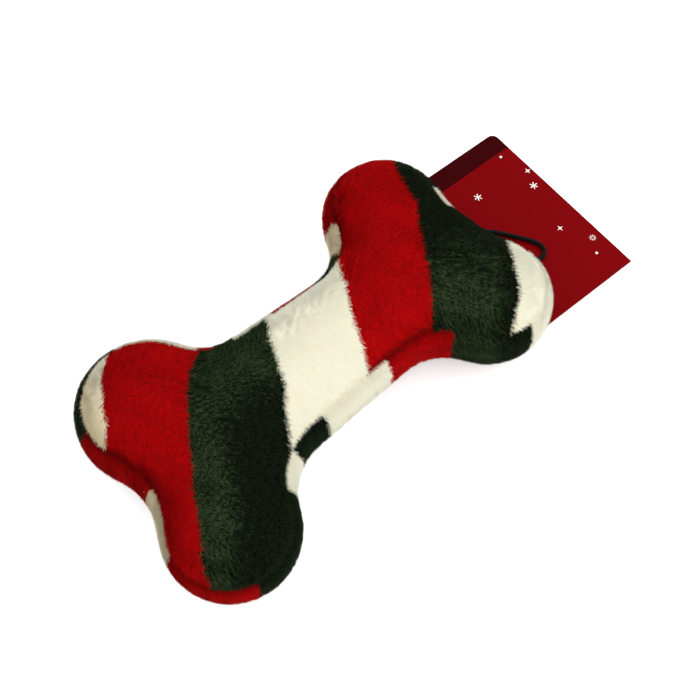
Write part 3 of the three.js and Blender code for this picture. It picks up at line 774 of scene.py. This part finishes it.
def pile_piece(name, points, number, tone_step, facing):
    count, verts_each = points.shape[:2]
    mesh = bpy.data.meshes.new(name)
    corner_order = np.concatenate([np.array(face) for face in fibre_faces])
    faces_each, corners_each = len(fibre_faces), len(corner_order)
    starts = np.cumsum([0] + [len(face) for face in fibre_faces])[:-1]
    mesh.vertices.add(count * verts_each)
    mesh.vertices.foreach_set("co", points.ravel())
    mesh.loops.add(count * corners_each)
    fibre = np.arange(count)[:, None]
    mesh.loops.foreach_set("vertex_index", (corner_order[None] + fibre * verts_each).ravel())
    mesh.polygons.add(count * faces_each)
    mesh.polygons.foreach_set("loop_start", (starts[None] + fibre * corners_each).ravel())
    mesh.polygons.foreach_set("use_smooth", np.ones(count * faces_each, bool))
    uvs = np.empty((count, corners_each, 2))
    uvs[:, :, 0] = number[:, None] / DYES
    up = fibre_up[corner_order]
    uvs[:, :, 1] = tone_step[:, None] + STEP_MARGIN + (1 - 2 * STEP_MARGIN) * up
    mesh.uv_layers.new(name="pile").data.foreach_set("uv", uvs.ravel())
    # For baking, fibres of one dye and tone share a swatch, and each has a thin triangle in it.
    swatch = np.floor(number).astype(int) % DYES * TONE_STEPS + tone_step
    sideways, inwards = (SWATCH_WIDTH * fibre_places[corner_order, axis] for axis in range(2))
    uvs[:, :, 0] = (swatch[:, None] + 0.5) / (DYES * TONE_STEPS) + sideways
    uvs[:, :, 1] = SWATCH_LOW + SWATCH_HEIGHT * up + inwards
    mesh.uv_layers.new(name="OFBake").data.foreach_set("uv", uvs.ravel())
    mesh.update(calc_edges=True)
    outwards = unit((points - points.mean(1, keepdims=True)).reshape(-1, 3))
    soft = unit(np.repeat(facing, verts_each, axis=0) + FIBRE_ROUNDNESS * outwards)
    mesh.normals_split_custom_set_from_vertices(soft)
    mesh.materials.append(plush)
    piece = show(name, mesh)
    piece.visible_shadow = False
    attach(piece, "toy")


for name, piece in fabric.items():
    fibres = grow_pile(name, piece, pile_counts[name])
    points, number = fibres[:2]
    dye = np.floor(number).astype(int) % DYES
    towards_tag = points[:, 0, 0] > 0
    if name in band_strips:
        pile_piece("pile_" + name, *fibres)
        continue
    # A panel's pile is parted by its ends, and the front's by its dyes too, to keep pieces small.
    if name == "front_panel":
        parts = [("front_" + colour + "_", dye == i) for i, colour in enumerate(PLUSH_LIT_TIPS)]
    else:
        parts = [("back_", np.ones(len(dye), bool))]
    for part, in_part in parts:
        for end, at_end in (("far_end", ~towards_tag), ("tag_end", towards_tag)):
            pile_piece("pile_" + part + end, *(values[in_part & at_end] for values in fibres))

# Filling: white hollow polyester fibre, one soft lump in the shaft and one in each lobe, pushed in
# through the back seam. It fills the plush shell without touching the pile.
FILLING_WHITE = "#F3F1EA"
FILLING_GAP = 0.0034
FILLING_VOXEL = 0.004
FILLING_SMOOTHINGS = 3
LUMP_HEIGHT = 0.0007
LUMPS_PER_METRE = 160
WISPS_PER_METRE = 420.0
WISP_RELIEF = 0.0008

# Crimped hollow fibre: a dull soft white with no shine of its own. The wisps are drawn as loose
# locks of fibre about 2.4 mm apart, because single fibres are too fine to show.
material, tree, shader = new_material("hollow_polyester_fibre_filling")
object_place = add_node(tree, "ShaderNodeTexCoord").outputs["Object"]
wisps = add_node(
    tree, "ShaderNodeTexNoise",
    {"Vector": object_place, "Scale": WISPS_PER_METRE, "Detail": 5.0, "Distortion": 2.0},
)
wisp_bump = add_node(
    tree, "ShaderNodeBump", {"Height": wisps.outputs[0], "Strength": 0.7, "Distance": WISP_RELIEF},
)
tree.links.new(wisp_bump.outputs[0], shader.inputs["Normal"])
shader.inputs["Base Color"].default_value = linear(FILLING_WHITE)
shader.inputs["Roughness"].default_value = 0.95
shader.inputs["Sheen Weight"].default_value = 0.3
for name in filling_parts:
    wad = bmesh.new()
    wad.from_mesh(evenly_faced([name], FILLING_VOXEL))
    smooth(wad, FILLING_SMOOTHINGS)
    wad.normal_update()
    for vert in wad.verts:
        lump = LUMP_HEIGHT * noise.noise(vert.co * LUMPS_PER_METRE)
        vert.co -= vert.normal * (FILLING_GAP + lump)
    mesh = bpy.data.meshes.new("wad_" + name)
    wad.to_mesh(mesh)
    wad.free()
    for face in mesh.polygons:
        face.use_smooth = True
    mesh.materials.append(material)
    piece = show("wad_" + name, mesh)
    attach(piece, "toy")
    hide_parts(name)

# Squeakers: a soft moulded vinyl bulb, its hard plug and a thin plastic reed, loose in the filling
# at each end. They keep the solids' own shapes, with a finish for each.
VINYL_WHITE = "#E9ECEE"
PLUG_WHITE = "#F5F5F2"
REED_AMBER = "#D8C9A0"
LESS_ROUGH, MORE_ROUGH = 0.05, 0.08

# The vinyl is milky with a soft gloss and the slight waves of a thin moulding. The polyethylene
# plug is whiter and glossier, and the polyester reed is an amber strip, smoothest of the three.
# After its colour, each finish has its roughness, the waves in a metre and their height. The waves
# are 11 mm apart on the bulb, 3.3 mm on the plug and 1.7 mm on the reed.
squeaker_finishes = (
    ("squeaker_bulb_", "semi_gloss_moulded_vinyl", VINYL_WHITE, 0.38, 90.0, 0.00015),
    ("squeaker_plug_", "gloss_moulded_polyethylene", PLUG_WHITE, 0.30, 300.0, 0.00005),
    ("squeaker_reed_", "thin_polyester_film", REED_AMBER, 0.22, 600.0, 0.00002),
)
for prefix, finish_name, colour, roughness, waves_per_metre, relief in squeaker_finishes:
    material, tree, shader = new_material(finish_name)
    object_place = add_node(tree, "ShaderNodeTexCoord").outputs["Object"]
    waves = add_node(
        tree, "ShaderNodeTexNoise", {"Vector": object_place, "Scale": waves_per_metre, "Detail": 3.0},
    )
    uneven = add_node(
        tree, "ShaderNodeBump", {"Height": waves.outputs[0], "Strength": 0.4, "Distance": relief},
    )
    gloss = add_node(
        tree, "ShaderNodeMapRange",
        {"Value": waves.outputs[0], "To Min": roughness - LESS_ROUGH, "To Max": roughness + MORE_ROUGH},
    )
    tree.links.new(uneven.outputs[0], shader.inputs["Normal"])
    tree.links.new(gloss.outputs[0], shader.inputs["Roughness"])
    shader.inputs["Base Color"].default_value = linear(colour)
    for end in ("tag_end", "far_end"):
        node_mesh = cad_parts[prefix + end].data
        node_mesh.materials.clear()
        node_mesh.materials.append(material)

# Hang tag: dark red printed card with a satin varnish, a darker band along its short edge, and
# small white printed shapes. It hangs by the elastic through the hole in its long edge.
CARD_RED = "#720206"
HEADER_RED = "#340103"
HEADER_EDGE = 0.0424
CARD_HOLE = Vector((0.1172, -0.0043, 0.00374))
CARD_TURN = math.radians(-3.1)
CARD_TILT = 0.0515
GRAINS_PER_METRE = 1400.0
PAPER_RELIEF = 0.00005
INK_UNEVENNESS = 0.06
PRINT_HEIGHT = 0.00006
PRINT_WHITE = "#F2EDE8"

# Printed and varnished card: an even dark red with a low sheen, and a faint unevenness where the
# paper takes the ink. The grain is drawn 0.7 mm wide, because paper's own is too fine to show.
material, tree, shader = new_material("satin_varnished_printed_card")
object_place = add_node(tree, "ShaderNodeTexCoord").outputs["Object"]
card_place = add_node(
    tree, "ShaderNodeMapping",
    {"Vector": object_place, "Location": tuple(CARD_HOLE), "Rotation": (0, 0, CARD_TURN)},
    vector_type="TEXTURE",
)
card_axes = add_node(tree, "ShaderNodeSeparateXYZ", {0: card_place.outputs[0]})
in_header = add_node(
    tree, "ShaderNodeMath", {0: card_axes.outputs[1], 1: HEADER_EDGE}, operation="GREATER_THAN",
)
ink = add_node(
    tree, "ShaderNodeMix", {0: in_header.outputs[0], 6: linear(CARD_RED), 7: linear(HEADER_RED)},
    data_type="RGBA",
)
grain = add_node(
    tree, "ShaderNodeTexNoise", {"Vector": object_place, "Scale": GRAINS_PER_METRE, "Detail": 2.0},
)
taken_up = add_node(
    tree, "ShaderNodeMapRange",
    {"Value": grain.outputs[0], "To Min": 1 - INK_UNEVENNESS, "To Max": 1 + INK_UNEVENNESS},
)
printed = add_node(
    tree, "ShaderNodeHueSaturation", {"Value": taken_up.outputs[0], "Color": ink.outputs[2]},
)
fibre_bump = add_node(
    tree, "ShaderNodeBump", {"Height": grain.outputs[0], "Strength": 0.15, "Distance": PAPER_RELIEF},
)
tree.links.new(printed.outputs[0], shader.inputs["Base Color"])
tree.links.new(fibre_bump.outputs[0], shader.inputs["Normal"])
shader.inputs["Roughness"].default_value = 0.5
shader.inputs["Specular IOR Level"].default_value = 0.02
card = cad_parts["hang_tag"]
card.data.materials.clear()
card.data.materials.append(material)

card_lean = Matrix.Rotation(CARD_TILT, 4, "Y")
card_frame = Matrix.Translation(CARD_HOLE) @ Matrix.Rotation(CARD_TURN, 4, "Z") @ card_lean
printing = bmesh.new()


def print_shape(centre, outline):
    """One flat printed shape on the card, as a very thin solid, from its outline in millimetres."""
    corners = [
        printing.verts.new(((centre[0] + x) / 1000, (centre[1] + y) / 1000, 0)) for x, y in outline
    ]
    face = printing.faces.new(corners)
    if face.calc_area() and face.normal.z < 0:
        face.normal_flip()
    raised = bmesh.ops.extrude_face_region(printing, geom=[face])["geom"]
    top = [item for item in raised if isinstance(item, bmesh.types.BMVert)]
    bmesh.ops.translate(printing, verts=top, vec=(0, 0, PRINT_HEIGHT))


def ring(radii):
    """Corners round a centre at the given radii in turn, evenly spread."""
    step = 2 * math.pi / len(radii)
    return [(r * math.cos(i * step), r * math.sin(i * step)) for i, r in enumerate(radii)]


def arms(centre, number, start, end, width):
    for i in range(number):
        angle = 2 * math.pi * i / number
        along = Vector((math.cos(angle), math.sin(angle)))
        side = Vector((-along.y, along.x)) * width / 2
        near_end, far_end = along * start, along * end
        corners = (near_end - side, far_end - side, far_end + side, near_end + side)
        print_shape(centre, [tuple(corner) for corner in corners])


to_card = card_frame.inverted()
for x, y, kind in (
    (170.4, 32.6, "dot"), (163.1, -46.0, "dot"), (174.8, 16.0, "star"), (170.0, 6.9, "snowflake"),
    (168.8, -38.0, "sparkle"), (141.0, 22.0, "snowflake"), (160.0, -22.0, "star"),
):
    local = to_card @ Vector((x / 1000, y / 1000, CARD_HOLE.z))
    centre = (local.x * 1000, local.y * 1000)
    if kind == "dot":
        print_shape(centre, ring([0.75] * 12))
    elif kind == "star":
        print_shape(centre, ring([2.1, 0.55] * 4))
    elif kind == "snowflake":
        print_shape(centre, ring([0.8, 0.5] * 6))
        arms(centre, number=6, start=0.6, end=2.3, width=0.55)
    else:
        arms(centre, number=8, start=0.7, end=1.9, width=0.38)
bmesh.ops.recalc_face_normals(printing, faces=printing.faces)
bmesh.ops.transform(printing, matrix=card_frame, verts=printing.verts)
print_mesh = bpy.data.meshes.new("card_print")
printing.to_mesh(print_mesh)
printing.free()

# Offset ink under the card's varnish: small flat shapes in a slightly warm white, as dull as the
# card round them.
material, tree, shader = new_material("white_offset_ink")
shader.inputs["Base Color"].default_value = linear(PRINT_WHITE)
shader.inputs["Roughness"].default_value = 0.5
print_mesh.materials.append(material)
card_print = show("card_print", print_mesh)
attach(card_print, "tag")

# Floor and light: a plain white sweep and two large soft lamps, the key from the upper right.
# The floor and the world look white to the camera, and light the toy at a plain level.
FLOOR_WHITE = "#F4F4F2"
FLOOR_REACH = 3.0
FLOOR_LIFT = 0.45
STUDIO_LIGHT = 0.92

# Each lamp's place, its width in metres and its power in watts.
studio_lamps = (
    ("key_lamp", (0.58, -0.42, 1.3), 1.6, 12.0),
    ("fill_lamp", (-0.4, 0.9, 1.1), 1.4, 5.0),
)


def seen_directly(tree):
    """1 for what the camera sees, also by way of gloss or glass, and 0 for light on the toy."""
    rays = add_node(tree, "ShaderNodeLightPath").outputs
    seen = rays["Is Camera Ray"]
    for others in (rays["Is Glossy Ray"], rays["Is Transmission Ray"]):
        either = add_node(tree, "ShaderNodeMath", {0: seen, 1: others}, operation="MAXIMUM")
        seen = either.outputs[0]
    return seen


floor_form = bmesh.new()
bmesh.ops.create_grid(floor_form, x_segments=1, y_segments=1, size=FLOOR_REACH)
floor_mesh = bpy.data.meshes.new("floor")
floor_form.to_mesh(floor_mesh)
floor_form.free()
floor = show("floor", floor_mesh)

# Matt background paper: an even white with no shine, on which only the toy's shadow shows.
material, tree, shader = new_material("matt_white_paper")
shader.inputs["Base Color"].default_value = linear(FLOOR_WHITE)
shader.inputs["Roughness"].default_value = 0.9
lift = add_node(
    tree, "ShaderNodeMath", {0: seen_directly(tree), 1: FLOOR_LIFT}, operation="MULTIPLY",
)
shader.inputs["Emission Color"].default_value = linear("#FFFFFF")
tree.links.new(lift.outputs[0], shader.inputs["Emission Strength"])
floor_mesh.materials.append(material)

world = bpy.data.worlds.new("studio")
scene.world = world
world.use_nodes = True
backdrop = world.node_tree.nodes["Background"]
backdrop.inputs["Color"].default_value = linear("#FFFFFF")
strength = add_node(
    world.node_tree, "ShaderNodeMapRange",
    {"Value": seen_directly(world.node_tree), "To Min": STUDIO_LIGHT, "To Max": 1.0},
)
world.node_tree.links.new(strength.outputs[0], backdrop.inputs["Strength"])
for name, place, size, power in studio_lamps:
    lamp_data = bpy.data.lights.new(name, "AREA")
    lamp_data.size = size
    lamp_data.energy = power
    lamp = bpy.data.objects.new(name, lamp_data)
    lamp.location = place
    lamp.rotation_euler = Vector(place).to_track_quat("Z", "Y").to_euler()
    scene.collection.objects.link(lamp)

scene.view_settings.view_transform = "Standard"
